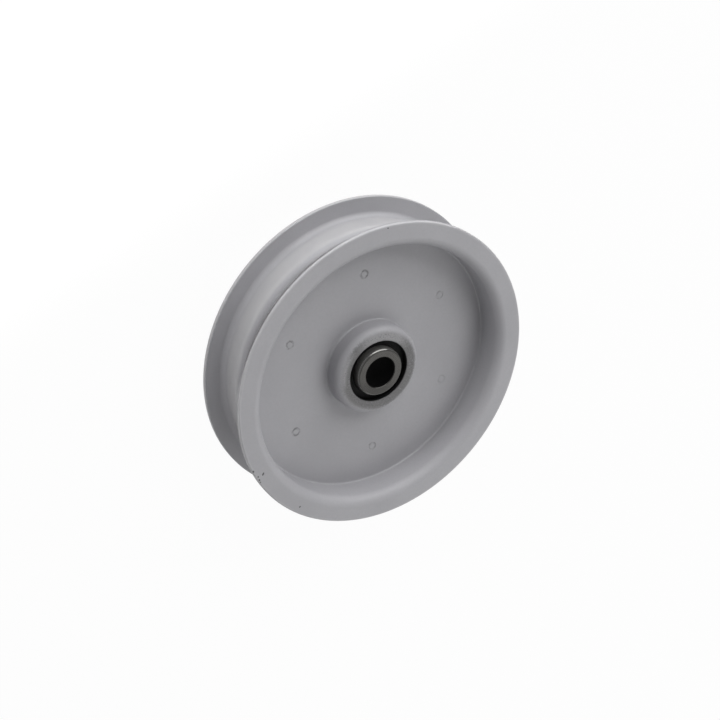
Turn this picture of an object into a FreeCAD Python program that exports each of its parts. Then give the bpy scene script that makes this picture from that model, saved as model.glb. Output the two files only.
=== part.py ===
import FreeCAD, Part
import math
import os

# Flat-belt idler pulley: two identical pressed-steel halves, spot-welded back to back,
# hold a sealed ball bearing with a long inner ring in the pockets of their hubs.
# The axis is Z. The origin is on the axis in the joint plane of the two halves,
# and the front half lies on the +Z side. Lengths are in millimetres.

# Rim and web, pressed from one sheet for each half
sheet_thickness = 2.0
flange_diameter = 127.0
overall_width = 29.4
belt_face_diameter = 111.1
rim_bend_radius = 1.8  # inside radius between belt face and flange
web_bend_radius = 0.8  # inside radius where the web meets the rim and the hub
cut_edge_round = 0.45  # rounding of the sheared edges

# Hub pocket that holds the bearing
pocket_bend_radius = 1.0  # inside radius between pocket wall and lip
pocket_clearance = 0.02
lip_reach = 3.78  # how far the lip turns in from the pocket wall

# Spot-weld marks, the same on both halves
weld_count = 6
weld_circle_diameter = 78.0
weld_mark_diameter = 3.0  # middle of the ring that an electrode leaves
weld_groove_radius = 0.5
weld_groove_depth = 0.25

# Bearing rings
bore_diameter = 12.7
bore_chamfer = 0.4
inner_ring_diameter = 20.0
inner_ring_length = 22.2
inner_ring_round = 0.6
outer_ring_wall = 1.6  # left under the bottom of its raceway
outer_ring_width = 15.8
outer_ring_chamfer = 1.0

# Balls and raceways
ball_count = 8
ball_diameter = 5.556
ball_clearance = 0.05  # between a ball and each raceway
shoulder_height = 0.68  # how far a ring's land stands past the bottom of its raceway
raceway_conformity = 0.52  # raceway radius over ball diameter

# Ribbon cage: two pressed halves with rivets between the balls
cage_sheet = 0.5
cage_land_clearance = 0.65  # between the cage's edges and the rings' lands
cage_pocket_clearance = 0.12
rivet_shank_diameter = 1.0
rivet_head_diameter = 1.7
rivet_head_height = 0.4
rivet_clearance = 0.02

# Seals, snapped into a groove near each side of the outer ring
seal_setback = 0.3  # from the outer ring's side face to the groove
seal_ledge = 0.7  # width of the ledge under the seal's rim, up to the groove's mouth
seal_groove_undercut = 0.35
seal_rim_width = 1.4
seal_rim_thickness = 0.8
seal_web_thickness = 0.5
seal_lip_width = 0.9
seal_lip_thickness = 1.0
seal_lip_clearance = 0.12
seal_clearance = 0.02
seal_round = 0.15

# Sizes that follow from those above
flange_radius = flange_diameter / 2
half_width = overall_width / 2
belt_radius = belt_face_diameter / 2
bore_radius = bore_diameter / 2
inner_ring_radius = inner_ring_diameter / 2
inner_ring_end = inner_ring_length / 2
ball_radius = ball_diameter / 2
ball_step = 360.0 / ball_count
raceway_radius = raceway_conformity * ball_diameter
inner_raceway_bottom = inner_ring_radius - shoulder_height
pitch_radius = inner_raceway_bottom + ball_clearance + ball_radius
outer_raceway_bottom = pitch_radius + ball_radius + ball_clearance
outer_land_radius = outer_raceway_bottom - shoulder_height
outer_ring_radius = outer_raceway_bottom + outer_ring_wall
outer_ring_side = outer_ring_width / 2
pocket_radius = outer_ring_radius + pocket_clearance
pocket_depth = outer_ring_side + max(0, pocket_bend_radius - outer_ring_chamfer)
lip_radius = pocket_radius - lip_reach
seal_mouth_radius = outer_land_radius + seal_ledge
seal_groove_radius = seal_mouth_radius + seal_groove_undercut
seal_groove_top = outer_ring_side - seal_setback
seal_groove_bottom = seal_groove_top - seal_rim_thickness - 2 * seal_clearance

origin = FreeCAD.Vector(0, 0, 0)
axis = FreeCAD.Vector(0, 0, 1)
turnover_axis = FreeCAD.Vector(1, 0, 0)


def rounded_outline(corners):
    """Closed wire in the XZ plane through corners of (radius, height, rounding)."""
    points = [FreeCAD.Vector(r, 0, z) for r, z, _ in corners]
    starts = []
    ends = []
    edges = []
    for i, (corner, (_, _, rounding)) in enumerate(zip(points, corners)):
        before = (points[i - 1] - corner).normalize()
        after = (points[(i + 1) % len(points)] - corner).normalize()
        half_angle = before.getAngle(after) / 2
        reach = rounding / math.tan(half_angle)
        starts.append(corner + before * reach)
        ends.append(corner + after * reach)
        if rounding > 0:
            inward = (before + after).normalize()
            middle = corner + inward * (rounding / math.sin(half_angle) - rounding)
            edges.append(Part.Arc(starts[i], middle, ends[i]).toShape())
    for i, end in enumerate(ends):
        edges.append(Part.LineSegment(end, starts[(i + 1) % len(starts)]).toShape())
    return Part.Wire(Part.__sortEdges__(edges))


def turned(corners):
    """Solid of revolution about the pulley's axis."""
    return Part.Face(rounded_outline(corners)).revolve(origin, axis, 360)


def turned_over(shape):
    """The same piece facing the other way, as the rear one of a pair lies."""
    copy = shape.copy()
    copy.rotate(origin, turnover_axis, 180)
    return copy


def around(angle, radius, height=0.0):
    """Point at an angle in degrees and a radius round the axis."""
    turn = math.radians(angle)
    return FreeCAD.Vector(radius * math.cos(turn), radius * math.sin(turn), height)


def pressed_half():
    """Lip, bearing pocket, flat web, half of the belt face and flange, bent from one sheet."""
    t = sheet_thickness
    joint_side = [
        (lip_radius, pocket_depth, cut_edge_round),
        (pocket_radius, pocket_depth, pocket_bend_radius),
        (pocket_radius, 0, web_bend_radius + t),
        (belt_radius, 0, web_bend_radius + t),
        (belt_radius, half_width - t, rim_bend_radius),
        (flange_radius, half_width - t, cut_edge_round),
    ]
    open_side = [
        (flange_radius, half_width, cut_edge_round),
        (belt_radius - t, half_width, rim_bend_radius + t),
        (belt_radius - t, t, web_bend_radius),
        (pocket_radius + t, t, web_bend_radius),
        (pocket_radius + t, pocket_depth + t, pocket_bend_radius + t),
        (lip_radius, pocket_depth + t, cut_edge_round),
    ]
    return turned(joint_side + open_side).cut(weld_marks())


def weld_marks():
    """Rings that cut the shallow marks of the welding electrodes into the web's open side."""
    height = sheet_thickness + weld_groove_radius - weld_groove_depth
    rings = []
    for i in range(weld_count):
        centre = around(i * 360.0 / weld_count, weld_circle_diameter / 2, height)
        rings.append(Part.makeTorus(weld_mark_diameter / 2, weld_groove_radius, centre))
    return Part.makeCompound(rings)


def inner_ring():
    """Long inner ring with rounded ends, a chamfered bore and a raceway in the middle."""
    ring = turned([
        (bore_radius, inner_ring_end - bore_chamfer, 0),
        (bore_radius + bore_chamfer, inner_ring_end, 0),
        (inner_ring_radius, inner_ring_end, inner_ring_round),
        (inner_ring_radius, -inner_ring_end, inner_ring_round),
        (bore_radius + bore_chamfer, -inner_ring_end, 0),
        (bore_radius, bore_chamfer - inner_ring_end, 0),
    ])
    return ring.cut(Part.makeTorus(inner_raceway_bottom + raceway_radius, raceway_radius))


def outer_ring():
    """Outer ring with chamfered corners, a seal groove at each side and a raceway."""
    front = [
        (outer_ring_radius, outer_ring_side - outer_ring_chamfer, 0),
        (outer_ring_radius - outer_ring_chamfer, outer_ring_side, 0),
        (seal_mouth_radius, outer_ring_side, 0),
        (seal_mouth_radius, seal_groove_top, 0),
        (seal_groove_radius, seal_groove_top, 0),
        (seal_groove_radius, seal_groove_bottom, 0),
        (outer_land_radius, seal_groove_bottom, 0),
    ]
    rear = [(r, -z, rounding) for r, z, rounding in reversed(front)]
    ring = turned(front + rear)
    return ring.cut(Part.makeTorus(outer_raceway_bottom - raceway_radius, raceway_radius))


def seal():
    """Moulded front seal: rim in the outer ring's groove, thin web and lip round the inner ring."""
    middle = (seal_groove_top + seal_groove_bottom) / 2
    rim_outer = seal_groove_radius - seal_clearance
    rim_inner = rim_outer - seal_rim_width
    lip_inner = inner_ring_radius + seal_lip_clearance
    lip_outer = lip_inner + seal_lip_width
    rim = seal_rim_thickness / 2
    web = seal_web_thickness / 2
    lip = seal_lip_thickness / 2
    step_round = min(seal_round, (rim - web) / 3, (lip - web) / 3)
    front = [
        (rim_outer, middle + rim, seal_round),
        (rim_inner, middle + rim, step_round),
        (rim_inner, middle + web, step_round),
        (lip_outer, middle + web, step_round),
        (lip_outer, middle + lip, step_round),
        (lip_inner, middle + lip, seal_round),
    ]
    rear = [(r, 2 * middle - z, rounding) for r, z, rounding in reversed(front)]
    return turned(front + rear)


def ball_places():
    """Centres of the balls, the first on +X."""
    return [around(i * ball_step, pitch_radius) for i in range(ball_count)]


def rivet_places():
    """Centres of the cage's rivets, half-way between the balls."""
    return [around((i + 0.5) * ball_step, pitch_radius) for i in range(ball_count)]


def cage_half():
    """Front half of the ribbon cage: flat lands between domes that wrap the balls."""
    pocket = ball_radius + cage_pocket_clearance
    dome = pocket + cage_sheet
    inner = inner_ring_radius + cage_land_clearance
    outer = outer_land_radius - cage_land_clearance
    band = Part.makeCylinder(outer, dome).cut(Part.makeCylinder(inner, dome))
    lands = Part.makeCylinder(outer, cage_sheet)
    ribbon = lands.multiFuse([Part.makeSphere(dome, p) for p in ball_places()]).common(band)
    pockets = [Part.makeSphere(pocket, p) for p in ball_places()]
    hole_radius = rivet_shank_diameter / 2 + rivet_clearance
    holes = [Part.makeCylinder(hole_radius, cage_sheet, p) for p in rivet_places()]
    return ribbon.cut(Part.makeCompound(pockets + holes)).removeSplitter()


def rivet(place):
    """Rivet through both cage halves, with a low domed head on each side."""
    shank_radius = rivet_shank_diameter / 2
    head_radius = rivet_head_diameter / 2
    dome_radius = (head_radius ** 2 + rivet_head_height ** 2) / (2 * rivet_head_height)
    shank = Part.makeCylinder(shank_radius, 2 * cage_sheet, place - axis * cage_sheet)
    heads = []
    for side in (axis, axis * -1):
        seat = place + side * cage_sheet
        dome = Part.makeSphere(dome_radius, seat + side * (rivet_head_height - dome_radius))
        heads.append(dome.common(Part.makeCylinder(head_radius, rivet_head_height, seat, side)))
    return shank.multiFuse(heads).removeSplitter()


def main():
    front_half = pressed_half()
    front_seal = seal()
    cage_front = cage_half()
    nodes = {
        "front_half": front_half,
        "rear_half": turned_over(front_half),
        "inner_ring": inner_ring(),
        "outer_ring": outer_ring(),
        "front_seal": front_seal,
        "rear_seal": turned_over(front_seal),
        "cage_front": cage_front,
        "cage_rear": turned_over(cage_front),
        "cage_rivets": Part.makeCompound([rivet(place) for place in rivet_places()]),
    }
    for number, place in enumerate(ball_places(), start=1):
        nodes["ball_%d" % number] = Part.makeSphere(ball_radius, place)
    os.makedirs("parts", exist_ok=True)
    for name, shape in nodes.items():
        shape.exportStep("parts/%s.step" % name)
        print(name, "solids:", len(shape.Solids), "valid:", shape.isValid(), "mm3:", round(shape.Volume, 1))


main()
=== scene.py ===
import math

import bmesh
import bpy
from mathutils import Matrix, Vector


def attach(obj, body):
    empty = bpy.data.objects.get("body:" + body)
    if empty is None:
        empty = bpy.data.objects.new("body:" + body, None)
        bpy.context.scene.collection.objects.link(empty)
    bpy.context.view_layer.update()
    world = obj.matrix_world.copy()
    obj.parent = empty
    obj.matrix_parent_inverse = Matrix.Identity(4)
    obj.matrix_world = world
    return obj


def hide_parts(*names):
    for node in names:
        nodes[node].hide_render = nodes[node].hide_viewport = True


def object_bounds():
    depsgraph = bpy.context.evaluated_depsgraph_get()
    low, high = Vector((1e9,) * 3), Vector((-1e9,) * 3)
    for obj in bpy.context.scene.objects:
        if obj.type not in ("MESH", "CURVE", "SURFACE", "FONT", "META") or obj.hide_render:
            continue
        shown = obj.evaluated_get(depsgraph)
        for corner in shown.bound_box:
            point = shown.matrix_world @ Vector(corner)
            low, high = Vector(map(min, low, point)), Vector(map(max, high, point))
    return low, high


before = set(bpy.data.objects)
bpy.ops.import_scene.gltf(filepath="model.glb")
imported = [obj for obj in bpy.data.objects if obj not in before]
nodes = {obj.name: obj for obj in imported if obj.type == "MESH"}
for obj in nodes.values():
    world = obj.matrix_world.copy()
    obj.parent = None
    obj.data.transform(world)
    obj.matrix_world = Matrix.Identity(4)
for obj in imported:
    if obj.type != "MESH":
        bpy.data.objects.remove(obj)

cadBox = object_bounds()
mm = 0.001
flangeRadius = cadBox[1][0] / mm
halfWidth = cadBox[1][2] / mm
# spot welds of the webs, for the paint and the pressings: how many, the circle they lie on and the mark's radius in mm
weldPlan = {"count": 6, "circle": 39.0, "ring": 1.5}
print("frame loaded:", len(nodes), "nodes")


# camera at the photograph's angle, rolled because the pulley lies flat
viewPoint = {
    "azimuth": 160.03,
    "elevation": 48.13,
    "roll": 128.8,
    "distance": 654.6 * mm,
    "aim": (-1.70 * mm, -0.64 * mm, -1.19 * mm),
    "lens": 83.79,
    "sensor": 36.0,
}


def towards(azimuth, elevation=0.0):
    az, el = math.radians(azimuth), math.radians(elevation)
    return Vector((math.cos(el) * math.cos(az), math.cos(el) * math.sin(az), math.sin(el)))


def placeCamera(view):
    back = towards(view["azimuth"], view["elevation"])
    level = Vector((0, 0, 1)).cross(back).normalized()
    right = Matrix.Rotation(math.radians(view["roll"]), 3, back) @ level
    up = back.cross(right)
    camData = bpy.data.cameras.new("photoCamera")
    camData.lens = view["lens"]
    camData.sensor_width = view["sensor"]
    cam = bpy.data.objects.new("photoCamera", camData)
    place = Vector(view["aim"]) + back * view["distance"]
    cam.matrix_world = Matrix.Translation(place) @ Matrix((right, up, back)).transposed().to_4x4()
    bpy.context.scene.collection.objects.link(cam)
    bpy.context.scene.camera = cam
    print("camera placed")


placeCamera(viewPoint)


# node helpers
def addNode(tree, kind, **settings):
    node = tree.nodes.new(kind)
    for key, value in settings.items():
        setattr(node, key, value)
    return node


def feed(tree, slot, value):
    if isinstance(value, bpy.types.NodeSocket):
        tree.links.new(value, slot)
    else:
        slot.default_value = value


def mathNode(tree, operation, *values):
    node = addNode(tree, "ShaderNodeMath", operation=operation)
    for slot, value in zip(node.inputs, values):
        feed(tree, slot, value)
    return node.outputs[0]


def productNode(tree, first, *others):
    for other in others:
        first = mathNode(tree, "MULTIPLY", first, other)
    return first


def vectorNode(tree, operation, *values):
    node = addNode(tree, "ShaderNodeVectorMath", operation=operation)
    for slot, value in zip(node.inputs, values):
        feed(tree, slot, value)
    return node.outputs["Value" if operation == "LENGTH" else "Vector"]


def rangeNode(tree, value, low, high, toLow=0.0, toHigh=1.0):
    node = addNode(tree, "ShaderNodeMapRange", interpolation_type="SMOOTHSTEP")
    for slot, given in zip(node.inputs, (value, low, high, toLow, toHigh)):
        feed(tree, slot, given)
    return node.outputs[0]


def noiseNode(tree, place, scale, detail=2.0, roughness=0.5):
    node = addNode(tree, "ShaderNodeTexNoise")
    feed(tree, node.inputs["Vector"], place)
    feed(tree, node.inputs["Scale"], scale)
    node.inputs["Detail"].default_value = detail
    node.inputs["Roughness"].default_value = roughness
    return node.outputs["Fac"]


def mixColour(tree, share, first, second):
    node = addNode(tree, "ShaderNodeMix", data_type="RGBA")
    sockets = {s.identifier: s for s in node.inputs}
    feed(tree, sockets["Factor_Float"], share)
    feed(tree, sockets["A_Color"], first)
    feed(tree, sockets["B_Color"], second)
    return [s for s in node.outputs if s.identifier == "Result_Color"][0]


def newGroup(name, inputs, outputs):
    tree = bpy.data.node_groups.new(name, "ShaderNodeTree")
    for label, kind in inputs.items():
        tree.interface.new_socket(label, in_out="INPUT", socket_type="NodeSocket" + kind)
    for label in outputs:
        tree.interface.new_socket(label, in_out="OUTPUT", socket_type="NodeSocketFloat")
    given = addNode(tree, "NodeGroupInput").outputs
    result = addNode(tree, "NodeGroupOutput").inputs
    return tree, given, result


def placeGroup(tree, name, **values):
    node = addNode(tree, "ShaderNodeGroup", node_tree=bpy.data.node_groups[name])
    for label, value in values.items():
        feed(tree, node.inputs[label], value)
    return node.outputs


# where a point lies round the pulley's axis: radius and height in mm, angle in radians
def makeRingPlace():
    tree, given, result = newGroup("ringPlace", {"Vector": "Vector"}, ["Radius", "Height", "Angle"])
    split = addNode(tree, "ShaderNodeSeparateXYZ")
    feed(tree, split.inputs[0], given["Vector"])
    x, y, z = split.outputs
    across = mathNode(tree, "SQRT", mathNode(tree, "MULTIPLY_ADD", x, x, mathNode(tree, "MULTIPLY", y, y)))
    feed(tree, result["Radius"], mathNode(tree, "DIVIDE", across, mm))
    feed(tree, result["Height"], mathNode(tree, "DIVIDE", z, mm))
    feed(tree, result["Angle"], mathNode(tree, "ARCTAN2", y, x))


# how far round the axis a point lies from one side, all in radians
def makeSideAway():
    tree, given, result = newGroup("sideAway", {"Angle": "Float", "Side": "Float"}, ["Away"])
    turn = mathNode(tree, "SUBTRACT", given["Angle"], given["Side"])
    feed(tree, result["Away"], mathNode(tree, "ABSOLUTE", mathNode(tree, "WRAP", turn, math.pi, -math.pi)))


# cloudy tone over some centimetres and a fine grain, both from 0 to 1 around 0.5; noise is detail and roughness
surfaceGrain = {
    "cloudNoise": (3.0, 0.55),
    "cloudRange": (0.3, 0.7),
    "grainNoise": (3.0, 0.6),
    "grainRange": (0.25, 0.75),
}


def makeSurfaceGrain(look):
    inputs = {"Vector": "Vector", "Broad": "Float", "Fine": "Float"}
    tree, given, result = newGroup("surfaceGrain", inputs, ["Cloud", "Grain"])
    cloudScale = mathNode(tree, "DIVIDE", 1 / mm, given["Broad"])
    grainScale = mathNode(tree, "DIVIDE", 1 / mm, given["Fine"])
    cloud = noiseNode(tree, given["Vector"], cloudScale, *look["cloudNoise"])
    grain = noiseNode(tree, given["Vector"], grainScale, *look["grainNoise"])
    feed(tree, result["Cloud"], rangeNode(tree, cloud, *look["cloudRange"]))
    feed(tree, result["Grain"], rangeNode(tree, grain, *look["grainRange"]))


# fine lines left by turning or grinding, running round the axis
turnedLines = {"sway": 1.5, "noise": (1.0, 3.0, 0.65), "range": (0.3, 0.7)}


def makeTurnedLines(look):
    inputs = {"Vector": "Vector", "Pitch": "Float"}
    tree, given, result = newGroup("turnedLines", inputs, ["Lines"])
    ring = placeGroup(tree, "ringPlace", Vector=given["Vector"])
    spread = mathNode(tree, "DIVIDE", mathNode(tree, "SUBTRACT", ring["Radius"], ring["Height"]), given["Pitch"])
    around = mathNode(tree, "SINE", ring["Angle"])
    place = addNode(tree, "ShaderNodeCombineXYZ")
    feed(tree, place.inputs[0], spread)
    feed(tree, place.inputs[1], mathNode(tree, "MULTIPLY", around, look["sway"]))
    lines = noiseNode(tree, place.outputs[0], *look["noise"])
    feed(tree, result["Lines"], rangeNode(tree, lines, *look["range"]))


# a small ragged chip at a place in m, with its half length, half width and depth in m and its turn in radians
chipMark = {"noise": (2200.0, 2.0, 0.6), "ragged": 0.5, "edge": (1.45, 1.1)}


def makeChipMark(look):
    inputs = {"Vector": "Vector", "Place": "Vector", "Size": "Vector", "Turn": "Float"}
    tree, given, result = newGroup("chipMark", inputs, ["Mask"])
    turned = addNode(tree, "ShaderNodeVectorRotate", rotation_type="Z_AXIS", invert=True)
    feed(tree, turned.inputs["Vector"], vectorNode(tree, "SUBTRACT", given["Vector"], given["Place"]))
    feed(tree, turned.inputs["Angle"], given["Turn"])
    reach = vectorNode(tree, "LENGTH", vectorNode(tree, "DIVIDE", turned.outputs[0], given["Size"]))
    ragged = noiseNode(tree, given["Vector"], *look["noise"])
    edge = mathNode(tree, "MULTIPLY_ADD", ragged, look["ragged"], reach)
    feed(tree, result["Mask"], rangeNode(tree, edge, *look["edge"]))


makeRingPlace()
makeSideAway()
makeSurfaceGrain(surfaceGrain)
makeTurnedLines(turnedLines)
makeChipMark(chipMark)


def awayFrom(tree, ring, azimuth):
    return placeGroup(tree, "sideAway", Angle=ring["Angle"], Side=math.radians(azimuth))["Away"]


def newMaterial(name):
    mat = bpy.data.materials.new(name)
    mat.use_nodes = True
    tree = mat.node_tree
    tree.nodes.clear()
    out = addNode(tree, "ShaderNodeOutputMaterial")
    bsdf = addNode(tree, "ShaderNodeBsdfPrincipled")
    tree.links.new(bsdf.outputs[0], out.inputs[0])
    place = addNode(tree, "ShaderNodeTexCoord").outputs["Object"]
    return mat, tree, bsdf, place


def addBump(tree, bsdf, height, depth):
    bump = addNode(tree, "ShaderNodeBump")
    bump.inputs["Distance"].default_value = depth
    feed(tree, bump.inputs["Height"], height)
    feed(tree, bsdf.inputs["Normal"], bump.outputs[0])


def giveMaterial(obj, mat):
    obj.data.materials.clear()
    obj.data.materials.append(mat)


# satin grey paint; sizes in mm here and below, angles in degrees, noise as scale, detail and roughness
greyPaint = {
    "deep": (0.395, 0.392, 0.412, 1),
    "pale": (0.425, 0.422, 0.442, 1),
    "grainTone": (0.360, 0.358, 0.376, 1),
    "grainShare": 0.35,
    "broad": 33.0,
    "fine": 0.8,
    "roughness": (0.42, 0.5),
    "peelDepth": 0.012 * mm,
    "hubRelief": 3.0,
}
# grainy end face of the hub, thin on paint; paler patches, the first better covered paint, the other two painted
# highlights along the edge of the hub's face: azimuth, half arc, inner radius
hubFace = {
    "thinRadius": (17.6, 15.9),
    "thinHeight": (7.2, 8.4),
    "thin": (0.146, 0.144, 0.146, 1),
    "coverAndHighlight": (0.300, 0.297, 0.306, 1),
    "coverAndHighlightPatches": ((106.0, 58.0, 12.6), (192.0, 36.0, 14.6), (252.0, 52.0, 15.7)),
    "patchCore": 0.35,
    "patchRise": (-0.6, 1.2),
    "speckleNoise": (1500.0, 3.0, 0.65),
    "raggedWidth": 3.0,
    "speck": (0.05, 0.05, 0.052, 1),
    "speckRange": (0.5, 0.72, 0.0, 0.55),
    "flakeRange": (0.45, 0.28, 0.0, 0.35),
    "cutEdge": (0.008, 0.008, 0.008, 1),
    "cutRadius": (13.35, 13.05),
    "cutHeight": (9.85, 9.6),
}
# belt face painted paler away from the flanges as painted light, painted highlights on the front flange's corner and
# the rear flange's edge, grime in the seam of the halves, and a band along the front flange's edge, a rough sheared
# zone with painted shade that is stronger on one side: azimuth and half arc
rimWear = {
    "patchNoise": (110.0, 4.0, 0.6),
    "patchRange": (0.3, 0.65, 0.55, 1.0),
    "paintedBeltLight": (0.447, 0.444, 0.454, 1),
    "beltRadius": (54.8, 55.3),
    "beltHeight": (11.8, 8.5),
    "paintedEdgeLight": (0.50, 0.496, 0.51, 1),
    "cornerRadius": (62.2, 63.3),
    "cornerHeight": (13.7, 14.3),
    "cornerShare": 0.75,
    "rearEdgeRadius": (63.0, 63.4),
    "rearEdgeHeight": (-12.7, -13.2),
    "sheared": (0.10, 0.099, 0.100, 1),
    "shearRadius": (62.9, 63.15),
    "shearHeight": (14.25, 13.5),
    "shearFoot": (12.0, 12.4),
    "shadeArc": (162.0, 36.0),
    "shadeArcCore": 0.5,
    "shearAndShadeShare": (0.3, 0.92),
    "shearRough": 0.45,
    "tickScale": 90.0,
    "tornRange": (0.3, 0.6, 0.7, 1.0),
    "seamRadius": (50.0, 52.0),
    "seamHeight": (1.6, 0.1),
    "seamShare": 0.2,
    "grime": (0.22, 0.217, 0.218, 1),
}
# dirt and painted shade in the rings of the spot welds, heavier round one side: azimuth, and where it fades
weldDirtAndShade = {
    "reach": (0.7, 0.2),
    "colour": (0.20, 0.20, 0.205, 1),
    "patchScale": 520.0,
    "patchRange": (0.42, 0.6, 0.2, 0.85),
    "side": 190.0,
    "fade": (145.0, 75.0),
    "faint": 0.15,
}
# knocks on the front flange: radius, azimuth, length, width and turn of each
paintChips = {
    "colour": (0.09, 0.09, 0.095, 1),
    "depth": 1.0,
    "marks": {
        "edgeScuff1": (62.92, -130.6, 1.0, 0.6, 140.0),
        "edgeScuff2": (62.42, -127.4, 0.85, 0.6, 120.0),
        "edgeScuff3": (62.64, -125.9, 1.05, 0.55, 143.0),
        "edgeScuff4": (62.85, -124.8, 0.75, 0.5, 145.0),
        "ovalChip": (60.22, -127.0, 1.4, 0.75, 92.5),
        "smallChip": (60.59, -102.5, 0.8, 0.7, 60.0),
        "topMark": (62.46, 116.7, 0.65, 0.55, 0.0),
    },
}


def paintRim(tree, place, ring, colour, look):
    height = mathNode(tree, "ABSOLUTE", ring["Height"])
    patchy = rangeNode(tree, noiseNode(tree, place, *look["patchNoise"]), *look["patchRange"])
    # belt face painted paler away from the flanges: painted light
    belt = productNode(tree, rangeNode(tree, ring["Radius"], *look["beltRadius"]),
                       rangeNode(tree, height, *look["beltHeight"]), patchy)
    colour = mixColour(tree, belt, colour, look["paintedBeltLight"])
    # painted highlight on the front flange's corner and on the rear flange's outer edge
    corner = productNode(tree, rangeNode(tree, ring["Radius"], *look["cornerRadius"]),
                         rangeNode(tree, height, *look["cornerHeight"], 0.0, look["cornerShare"]), patchy)
    rearEdge = productNode(tree, rangeNode(tree, ring["Radius"], *look["rearEdgeRadius"]),
                           rangeNode(tree, ring["Height"], *look["rearEdgeHeight"]))
    colour = mixColour(tree, mathNode(tree, "MAXIMUM", corner, rearEdge), colour, look["paintedEdgeLight"])
    seam = productNode(tree, rangeNode(tree, ring["Radius"], *look["seamRadius"]),
                       rangeNode(tree, height, *look["seamHeight"], 0.0, look["seamShare"]), patchy)
    colour = mixColour(tree, seam, colour, look["grime"])
    # band along the front flange's edge: a rough sheared zone with torn ticks, plus painted shade that is strongest
    # round one side
    middle, halfArc = look["shadeArc"]
    arc = rangeNode(tree, awayFrom(tree, ring, middle), math.radians(halfArc),
                    math.radians(halfArc * look["shadeArcCore"]), *look["shearAndShadeShare"])
    ticks = addNode(tree, "ShaderNodeTexNoise", noise_dimensions="1D")
    feed(tree, ticks.inputs["W"], mathNode(tree, "MULTIPLY", ring["Angle"], look["tickScale"]))
    sheared = productNode(tree, rangeNode(tree, ring["Radius"], *look["shearRadius"]),
                          rangeNode(tree, ring["Height"], *look["shearHeight"]),
                          rangeNode(tree, ring["Height"], *look["shearFoot"]),
                          arc, rangeNode(tree, ticks.outputs["Fac"], *look["tornRange"]))
    colour = mixColour(tree, sheared, colour, look["sheared"])
    return colour, mathNode(tree, "MULTIPLY", sheared, look["shearRough"])


def paintWelds(tree, place, ring, colour, look):
    sector = 2 * math.pi / weldPlan["count"]
    angle = mathNode(tree, "WRAP", ring["Angle"], sector / 2, -sector / 2)
    outward = mathNode(tree, "MULTIPLY", ring["Radius"], mathNode(tree, "COSINE", angle))
    along = mathNode(tree, "SUBTRACT", outward, weldPlan["circle"])
    side = mathNode(tree, "MULTIPLY", ring["Radius"], mathNode(tree, "SINE", angle))
    square = mathNode(tree, "MULTIPLY_ADD", along, along, mathNode(tree, "MULTIPLY", side, side))
    near = mathNode(tree, "ABSOLUTE", mathNode(tree, "SUBTRACT", mathNode(tree, "SQRT", square), weldPlan["ring"]))
    patchy = rangeNode(tree, noiseNode(tree, place, look["patchScale"]), *look["patchRange"])
    fade = [math.radians(a) for a in look["fade"]]
    # dirt and painted shade in the weld rings, heavier round one side
    onSide = rangeNode(tree, awayFrom(tree, ring, look["side"]), *fade, look["faint"], 1.0)
    mask = productNode(tree, rangeNode(tree, near, *look["reach"]), patchy, onSide)
    return mixColour(tree, mask, colour, look["colour"])


def paintHubFace(tree, place, ring, colour, look):
    height = mathNode(tree, "ABSOLUTE", ring["Height"])
    speckle = noiseNode(tree, place, *look["speckleNoise"])
    inward = mathNode(tree, "SUBTRACT", ring["Radius"], look["raggedWidth"] / 2)
    ragged = mathNode(tree, "MULTIPLY_ADD", speckle, look["raggedWidth"], inward)
    onFace = productNode(tree, rangeNode(tree, ragged, *look["thinRadius"]),
                         rangeNode(tree, height, *look["thinHeight"]))
    face = look["thin"]
    # paler patches: the first is better covered paint, the other two are painted highlights
    for azimuth, halfArc, inner in look["coverAndHighlightPatches"]:
        sector = rangeNode(tree, awayFrom(tree, ring, azimuth), math.radians(halfArc),
                           math.radians(halfArc * look["patchCore"]))
        rise = rangeNode(tree, ragged, *(inner + step for step in look["patchRise"]))
        face = mixColour(tree, productNode(tree, sector, rise), face, look["coverAndHighlight"])
    face = mixColour(tree, rangeNode(tree, speckle, *look["speckRange"]), face, look["speck"])
    face = mixColour(tree, rangeNode(tree, speckle, *look["flakeRange"]), face, greyPaint["pale"])
    colour = mixColour(tree, onFace, colour, face)
    # the lip's cut edge is painted near black: painted shade in the gap beside the bearing
    onEdge = productNode(tree, rangeNode(tree, ring["Radius"], *look["cutRadius"]),
                         rangeNode(tree, height, *look["cutHeight"]))
    colour = mixColour(tree, onEdge, colour, look["cutEdge"])
    return colour, productNode(tree, speckle, onFace)


def paintChipMarks(tree, place, colour, look):
    for radius, azimuth, length, width, turn in look["marks"].values():
        spot = towards(azimuth) * radius * mm + Vector((0, 0, halfWidth * mm))
        size = Vector((length / 2, width / 2, look["depth"])) * mm
        chip = placeGroup(tree, "chipMark", Vector=place, Place=spot, Size=size, Turn=math.radians(turn))
        colour = mixColour(tree, chip["Mask"], colour, look["colour"])
    return colour


def makeGreyPaint(look):
    mat, tree, bsdf, place = newMaterial("greyPaint")
    ring = placeGroup(tree, "ringPlace", Vector=place)
    grain = placeGroup(tree, "surfaceGrain", Vector=place, Broad=look["broad"], Fine=look["fine"])
    colour = mixColour(tree, grain["Cloud"], look["deep"], look["pale"])
    grainShare = mathNode(tree, "MULTIPLY", grain["Grain"], look["grainShare"])
    colour = mixColour(tree, grainShare, colour, look["grainTone"])
    colour, shearRough = paintRim(tree, place, ring, colour, rimWear)
    colour = paintWelds(tree, place, ring, colour, weldDirtAndShade)
    colour, hubGrit = paintHubFace(tree, place, ring, colour, hubFace)
    colour = paintChipMarks(tree, place, colour, paintChips)
    feed(tree, bsdf.inputs["Base Color"], colour)
    satin = rangeNode(tree, grain["Grain"], 0.0, 1.0, *look["roughness"])
    feed(tree, bsdf.inputs["Roughness"], mathNode(tree, "ADD", satin, shearRough))
    addBump(tree, bsdf, mathNode(tree, "MULTIPLY_ADD", hubGrit, look["hubRelief"], grain["Grain"]), look["peelDepth"])
    return mat
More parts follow.
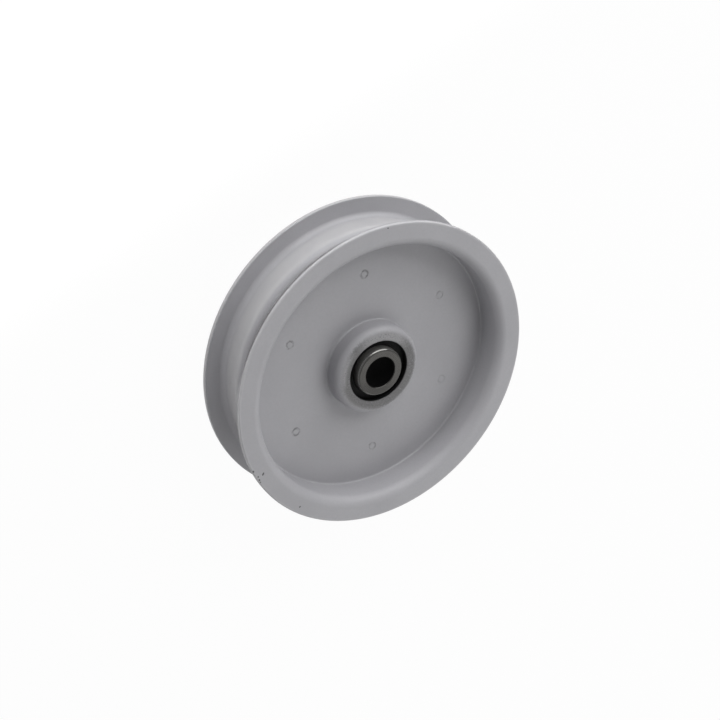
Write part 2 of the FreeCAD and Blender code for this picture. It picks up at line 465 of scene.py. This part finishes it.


# ground steel of the bearing rings; the bore is painted near black as painted shade, and one side of the end faces
# carries painted shade
ringSteel = {
    "light": (0.33, 0.324, 0.314, 1),
    "dark": (0.23, 0.226, 0.219, 1),
    "edgeLight": (0.27, 0.266, 0.258, 1),
    "edgeDark": (0.21, 0.207, 0.20, 1),
    "edgeHeight": (10.3, 10.6),
    "edgeGloss": 0.25,
    "faceLight": (0.098, 0.095, 0.091, 1),
    "faceDark": (0.064, 0.062, 0.059, 1),
    "faceRadius": (9.75, 9.3),
    "faceGloss": 0.1,
    "paintedFaceShade": (0.045, 0.044, 0.042, 1),
    "faceShadeSide": 278.0,
    "faceShadeFade": (80.0, 25.0),
    "faceShadeShare": 0.65,
    "bore": (0.003, 0.003, 0.003, 1),
    "boreRadius": (6.62, 6.42),
    "boreRough": 0.5,
    "broad": 6.0,
    "fine": 0.4,
    "pitch": 0.12,
    "lineShare": 0.6,
    "cloudShare": 0.4,
    "roughness": (0.3, 0.42),
    "lineDepth": 0.002 * mm,
    "metallic": 0.75,
    "specular": 0.2,
}


def makeRingSteel(look):
    mat, tree, bsdf, place = newMaterial("ringSteel")
    ring = placeGroup(tree, "ringPlace", Vector=place)
    lines = placeGroup(tree, "turnedLines", Vector=place, Pitch=look["pitch"])["Lines"]
    grain = placeGroup(tree, "surfaceGrain", Vector=place, Broad=look["broad"], Fine=look["fine"])
    clouds = mathNode(tree, "MULTIPLY", grain["Cloud"], look["cloudShare"])
    tone = mathNode(tree, "MULTIPLY_ADD", lines, look["lineShare"], clouds)
    onFace = rangeNode(tree, ring["Radius"], *look["faceRadius"])
    # the bore is painted near black: painted shade inside the bore
    boreShadeMask = rangeNode(tree, ring["Radius"], *look["boreRadius"])
    atEnd = rangeNode(tree, mathNode(tree, "ABSOLUTE", ring["Height"]), *look["edgeHeight"])
    onEdge = productNode(tree, mathNode(tree, "SUBTRACT", 1.0, onFace), atEnd)
    # painted shade darkening one side of the end faces
    fade = [math.radians(a) for a in look["faceShadeFade"]]
    faceShade = rangeNode(tree, awayFrom(tree, ring, look["faceShadeSide"]), *fade, 0.0, look["faceShadeShare"])
    edge = mixColour(tree, tone, look["edgeDark"], look["edgeLight"])
    face = mixColour(tree, tone, look["faceDark"], look["faceLight"])
    face = mixColour(tree, faceShade, face, look["paintedFaceShade"])
    colour = mixColour(tree, tone, look["dark"], look["light"])
    rough = rangeNode(tree, tone, 0.0, 1.0, *look["roughness"])
    for mask, tint, more in ((onEdge, edge, -look["edgeGloss"]), (onFace, face, -look["faceGloss"]),
                             (boreShadeMask, look["bore"], look["boreRough"])):
        colour = mixColour(tree, mask, colour, tint)
        rough = mathNode(tree, "MULTIPLY_ADD", mask, more, rough)
    feed(tree, bsdf.inputs["Base Color"], colour)
    feed(tree, bsdf.inputs["Roughness"], rough)
    bsdf.inputs["Metallic"].default_value = look["metallic"]
    bsdf.inputs["Specular IOR Level"].default_value = look["specular"]
    addBump(tree, bsdf, lines, look["lineDepth"])
    return mat


# polished bearing steel of the balls
ballSteel = {
    "deep": (0.58, 0.58, 0.59, 1),
    "pale": (0.64, 0.64, 0.645, 1),
    "broad": 3.0,
    "fine": 0.3,
    "roughness": (0.08, 0.16),
    "relief": 0.0005 * mm,
    "metallic": 1.0,
    "specular": 0.5,
}
# pressed strip of the cage and its rivets
cageSteel = {
    "deep": (0.44, 0.43, 0.41, 1),
    "pale": (0.54, 0.53, 0.51, 1),
    "broad": 5.0,
    "fine": 0.35,
    "roughness": (0.3, 0.5),
    "relief": 0.003 * mm,
    "metallic": 1.0,
    "specular": 0.5,
}
# black moulded rubber with a faint grey bloom
sealRubber = {
    "deep": (0.003, 0.003, 0.003, 1),
    "pale": (0.008, 0.008, 0.008, 1),
    "broad": 4.0,
    "fine": 0.35,
    "roughness": (0.5, 0.7),
    "relief": 0.008 * mm,
    "metallic": 0.0,
    "specular": 0.15,
}


def makeGrained(name, look):
    mat, tree, bsdf, place = newMaterial(name)
    grain = placeGroup(tree, "surfaceGrain", Vector=place, Broad=look["broad"], Fine=look["fine"])
    feed(tree, bsdf.inputs["Base Color"], mixColour(tree, grain["Cloud"], look["deep"], look["pale"]))
    feed(tree, bsdf.inputs["Roughness"], rangeNode(tree, grain["Grain"], 0.0, 1.0, *look["roughness"]))
    bsdf.inputs["Metallic"].default_value = look["metallic"]
    bsdf.inputs["Specular IOR Level"].default_value = look["specular"]
    addBump(tree, bsdf, grain["Grain"], look["relief"])
    return mat


paint = makeGreyPaint(greyPaint)
ringMetal = makeRingSteel(ringSteel)
ballMetal = makeGrained("ballSteel", ballSteel)
cageMetal = makeGrained("cageSteel", cageSteel)
rubber = makeGrained("sealRubber", sealRubber)
for name, obj in nodes.items():
    if name.startswith("ball_"):
        giveMaterial(obj, ballMetal)
    elif name.startswith("cage_"):
        giveMaterial(obj, cageMetal)
    elif name.endswith("_seal"):
        giveMaterial(obj, rubber)
    elif name.endswith("_half"):
        giveMaterial(obj, paint)
    else:
        giveMaterial(obj, ringMetal)
print("finishes made")


# points nearer than this become one, and how much the flat faces count in the normals
meshCare = {"mergeReach": 0.001 * mm, "flatWeight": 50}


# turned and pressed shapes: a wire with rounded corners (radius, height, rounding) in mm, spun upright
def addSpun(bm, corners, segments, steps, centre=(0, 0)):
    points = [Vector((centre[0] + r, centre[1], z)) * mm for r, z, _ in corners]
    old = set(bm.verts)
    verts = [bm.verts.new(p) for p in points]
    for first, second in zip(verts, verts[1:]):
        bm.edges.new((first, second))
    for i in range(1, len(corners) - 1):
        if corners[i][2] > 0:
            before = points[i - 1] - points[i]
            after = points[i + 1] - points[i]
            reach = corners[i][2] * mm / math.tan(before.angle(after) / 2)
            bmesh.ops.bevel(bm, geom=[verts[i]], offset=reach, offset_type="OFFSET", segments=segments,
                            profile=0.5, affect="VERTICES", material=-1)
    wire = [v for v in bm.verts if v not in old]
    edges = [e for e in bm.edges if e.verts[0] not in old]
    bmesh.ops.spin(bm, geom=wire + edges, cent=(centre[0] * mm, centre[1] * mm, 0), axis=(0, 0, 1),
                   angle=2 * math.pi, steps=steps, use_merge=True)


def turnedOver(bm):
    copy = bm.copy()
    bmesh.ops.rotate(copy, verts=copy.verts, cent=(0, 0, 0), matrix=Matrix.Rotation(math.pi, 3, "X"))
    return copy


def makePiece(name, bm, mat, body, replaced):
    mesh = bpy.data.meshes.new(name)
    bm.to_mesh(mesh)
    bm.free()
    mesh.shade_smooth()
    mesh.materials.append(mat)
    piece = bpy.data.objects.new(name, mesh)
    bpy.context.scene.collection.objects.link(piece)
    flats = piece.modifiers.new("evenFlats", "WEIGHTED_NORMAL")
    flats.weight = meshCare["flatWeight"]
    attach(piece, body)
    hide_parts(replaced)
    print(name, "made, faces:", len(mesh.polygons))


# one pressed half, bent from sheet
pressedHalf = {
    "sheet": 2.0,
    "beltRadius": 55.55,
    "pocketRadius": 16.596,
    "lipRadius": 12.816,
    "hubFace": 9.9,
    "rimBend": 1.8,
    "beltBend": 2.2,
    "webBend": 0.8,
    "seamRound": 4.2,
    "pocketBend": 1.0,
    "edgeRound": 0.45,
    "cornerRound": 0.62,
    "webMargin": 0.6,
    "weldSkirt": 2.8,
    "weldGroove": 0.43,
    "weldDepth": 0.16,
    "weldSoftness": 0.1,
    "weldSegments": 4,
    "weldSteps": 48,
    "bendSegments": 10,
    "steps": 288,
}


def halfSection(size):
    t = size["sheet"]
    hub = size["pocketRadius"] + t
    wall = size["beltRadius"] - t
    margin = size["webBend"] + size["webMargin"]
    edge = size["edgeRound"]
    return [
        (hub + margin, t, 0),
        (hub, t, size["webBend"]),
        (hub, size["hubFace"], size["pocketBend"] + t),
        (size["lipRadius"], size["hubFace"], edge),
        (size["lipRadius"], size["hubFace"] - t, edge),
        (size["pocketRadius"], size["hubFace"] - t, size["pocketBend"]),
        (size["pocketRadius"], 0, size["webBend"] + t),
        (size["beltRadius"], 0, size["seamRound"]),
        (size["beltRadius"], halfWidth - t, size["beltBend"]),
        (flangeRadius, halfWidth - t, edge),
        (flangeRadius, halfWidth, size["cornerRound"]),
        (wall, halfWidth, size["rimBend"] + t),
        (wall, t, size["webBend"]),
        (wall - margin, t, 0),
    ]


def addWeldMark(bm, size, azimuth):
    centre = towards(azimuth) * weldPlan["circle"]
    ring, level, groove, soft = weldPlan["ring"], size["sheet"], size["weldGroove"], size["weldSoftness"]
    corners = [
        (size["weldSkirt"], level, 0),
        (ring + groove, level, soft),
        (ring, level - size["weldDepth"], soft * 2),
        (ring - groove, level, soft),
        (0, level, 0),
    ]
    addSpun(bm, corners, size["weldSegments"], size["weldSteps"], (centre.x, centre.y))


def shapeHalf(size):
    bm = bmesh.new()
    for i in range(weldPlan["count"]):
        addWeldMark(bm, size, i * 360 / weldPlan["count"])
    addSpun(bm, halfSection(size), size["bendSegments"], size["steps"])
    bmesh.ops.remove_doubles(bm, verts=bm.verts, dist=meshCare["mergeReach"])
    rims = [e for e in bm.edges if e.is_boundary]
    bmesh.ops.triangle_fill(bm, edges=rims, use_beauty=True, use_dissolve=False, normal=(0, 0, 1))
    bmesh.ops.recalc_face_normals(bm, faces=bm.faces)
    return bm


# a closed section spun round the axis
def shapeTurned(corners, size):
    bm = bmesh.new()
    addSpun(bm, corners, size["segments"], size["steps"])
    bmesh.ops.remove_doubles(bm, verts=bm.verts, dist=meshCare["mergeReach"])
    bmesh.ops.recalc_face_normals(bm, faces=bm.faces)
    return bm


# long inner ring with a raceway in the middle, whose rounding stays just short of its edges
innerRing = {
    "boreRadius": 6.35,
    "boreChamfer": 0.4,
    "chamferRound": 0.08,
    "radius": 10.0,
    "end": 11.1,
    "endRound": 1.0,
    "raceBottom": 9.32,
    "raceRadius": 2.889,
    "raceShare": 0.995,
    "segments": 8,
    "steps": 192,
}


def mirrored(upper):
    return [(r, -z, rounding) for r, z, rounding in reversed(upper)]


def ringSection(size):
    bore, chamfer, soft = size["boreRadius"], size["boreChamfer"], size["chamferRound"]
    raceCentre = size["raceBottom"] + size["raceRadius"]
    rise = raceCentre - size["radius"]
    raceEdge = math.sqrt(size["raceRadius"] ** 2 - rise ** 2)
    raceMeet = raceCentre - size["raceRadius"] ** 2 / rise
    upper = [
        (bore, 0, 0),
        (bore, size["end"] - chamfer, soft),
        (bore + chamfer, size["end"], soft),
        (size["radius"], size["end"], size["endRound"]),
        (size["radius"], raceEdge, 0),
    ]
    return upper + [(raceMeet, 0, size["raceRadius"] * size["raceShare"])] + mirrored(upper)


# moulded seal: rim in the outer ring's groove, thin web and lip round the inner ring
sealShape = {
    "middle": 7.18,
    "rimOuter": 15.326,
    "rimWidth": 1.4,
    "rimThickness": 0.8,
    "webThickness": 0.5,
    "lipInner": 10.12,
    "lipWidth": 0.9,
    "lipThickness": 1.0,
    "edgeRound": 0.15,
    "stepRound": 0.05,
    "segments": 3,
    "steps": 144,
}


def sealSection(size):
    rim, web, lip = (size[k] / 2 for k in ("rimThickness", "webThickness", "lipThickness"))
    rimInner = size["rimOuter"] - size["rimWidth"]
    lipOuter = size["lipInner"] + size["lipWidth"]
    edge, soft = size["edgeRound"], size["stepRound"]
    upper = [
        (size["rimOuter"], 0, 0),
        (size["rimOuter"], rim, edge),
        (rimInner, rim, soft),
        (rimInner, web, soft),
        (lipOuter, web, soft),
        (lipOuter, lip, soft),
        (size["lipInner"], lip, edge),
    ]
    return [(r, size["middle"] + z, rounding) for r, z, rounding in upper + mirrored(upper)]


front = shapeHalf(pressedHalf)
rear = turnedOver(front)
makePiece("frontPressing", front, paint, "sheave", "front_half")
makePiece("rearPressing", rear, paint, "sheave", "rear_half")
makePiece("innerRing", shapeTurned(ringSection(innerRing), innerRing), ringMetal,
          "inner_race", "inner_ring")
frontSeal = shapeTurned(sealSection(sealShape), sealShape)
rearSeal = turnedOver(frontSeal)
makePiece("frontSeal", frontSeal, rubber, "sheave", "front_seal")
makePiece("rearSeal", rearSeal, rubber, "sheave", "rear_seal")


# floor, lamps and world, sizes in m
stageSet = {
    "floorSize": 12.0,
    "floorColour": (0.8, 0.8, 0.8, 1),
    "whiteShare": 0.96,
    "worldLevel": 0.22,
}
lampPanels = {
    "keyPanel": {
        "azimuth": 92.0, "elevation": 24.0, "distance": 1.1,
        "wide": 1.25, "high": 1.25, "power": 12.2, "inGloss": True,
    },
    "rightPanel": {
        "azimuth": 330.0, "elevation": 35.0, "distance": 1.3,
        "wide": 1.6, "high": 1.6, "power": 8.7, "inGloss": True,
    },
    "leftPanel": {
        "azimuth": 153.0, "elevation": 6.0, "distance": 1.0,
        "wide": 0.45, "high": 0.18, "power": 2.4, "inGloss": False,
    },
    "lowFill": {
        "azimuth": 225.0, "elevation": 14.0, "distance": 1.2,
        "wide": 0.6, "high": 0.5, "power": 0.9, "inGloss": False,
    },
}
# gridded panel over the floor beside the pulley, whose light comes back up to the belt face
floorWash = {
    "azimuth": 139.0, "reach": 0.31, "height": 0.20, "spread": 16.0,
    "wide": 0.42, "high": 0.60, "power": 1.1, "inGloss": True,
}


def makeFloor(look):
    bm = bmesh.new()
    bmesh.ops.create_grid(bm, x_segments=1, y_segments=1, size=look["floorSize"] / 2)
    bmesh.ops.translate(bm, verts=bm.verts, vec=(0, 0, cadBox[0][2]))
    mesh = bpy.data.meshes.new("floor")
    bm.to_mesh(mesh)
    bm.free()
    floor = bpy.data.objects.new("floor", mesh)
    bpy.context.scene.collection.objects.link(floor)
    mat = bpy.data.materials.new("floorWhite")
    mat.use_nodes = True
    tree = mat.node_tree
    tree.nodes.clear()
    out = addNode(tree, "ShaderNodeOutputMaterial")
    plain = addNode(tree, "ShaderNodeBsdfDiffuse")
    plain.inputs["Color"].default_value = look["floorColour"]
    glow = addNode(tree, "ShaderNodeEmission")
    glow.inputs["Strength"].default_value = 1.0
    mix = addNode(tree, "ShaderNodeMixShader")
    path = addNode(tree, "ShaderNodeLightPath")
    seen = mathNode(tree, "MAXIMUM", path.outputs["Is Camera Ray"], path.outputs["Is Glossy Ray"])
    seen = mathNode(tree, "MAXIMUM", seen, path.outputs["Is Transmission Ray"])
    tree.links.new(mathNode(tree, "MULTIPLY", seen, look["whiteShare"]), mix.inputs[0])
    tree.links.new(plain.outputs[0], mix.inputs[1])
    tree.links.new(glow.outputs[0], mix.inputs[2])
    tree.links.new(mix.outputs[0], out.inputs[0])
    giveMaterial(floor, mat)


def makeLamp(name, panel):
    data = bpy.data.lights.new(name, "AREA")
    data.shape = "RECTANGLE"
    data.size = panel["wide"]
    data.size_y = panel["high"]
    data.energy = panel["power"]
    lamp = bpy.data.objects.new(name, data)
    lamp.visible_camera = False
    lamp.visible_glossy = panel["inGloss"]
    bpy.context.scene.collection.objects.link(lamp)
    return lamp


def aimLamp(name, panel):
    lamp = makeLamp(name, panel)
    aim = towards(panel["azimuth"], panel["elevation"])
    lamp.location = aim * panel["distance"]
    lamp.rotation_euler = aim.to_track_quat("Z", "Y").to_euler()


def hangLamp(name, panel):
    lamp = makeLamp(name, panel)
    lamp.data.spread = math.radians(panel["spread"])
    lamp.location = towards(panel["azimuth"]) * panel["reach"] + Vector((0, 0, panel["height"]))
    lamp.rotation_euler = (0, 0, math.radians(panel["azimuth"]))


def makeWorld(look):
    world = bpy.data.worlds.new("studio")
    bpy.context.scene.world = world
    world.use_nodes = True
    sky = world.node_tree.nodes["Background"]
    sky.inputs["Color"].default_value = (1, 1, 1, 1)
    sky.inputs["Strength"].default_value = look["worldLevel"]


makeFloor(stageSet)
for name, panel in lampPanels.items():
    aimLamp(name, panel)
hangLamp("floorWash", floorWash)
makeWorld(stageSet)
bpy.context.scene.view_settings.view_transform = "Standard"
print("stage set")
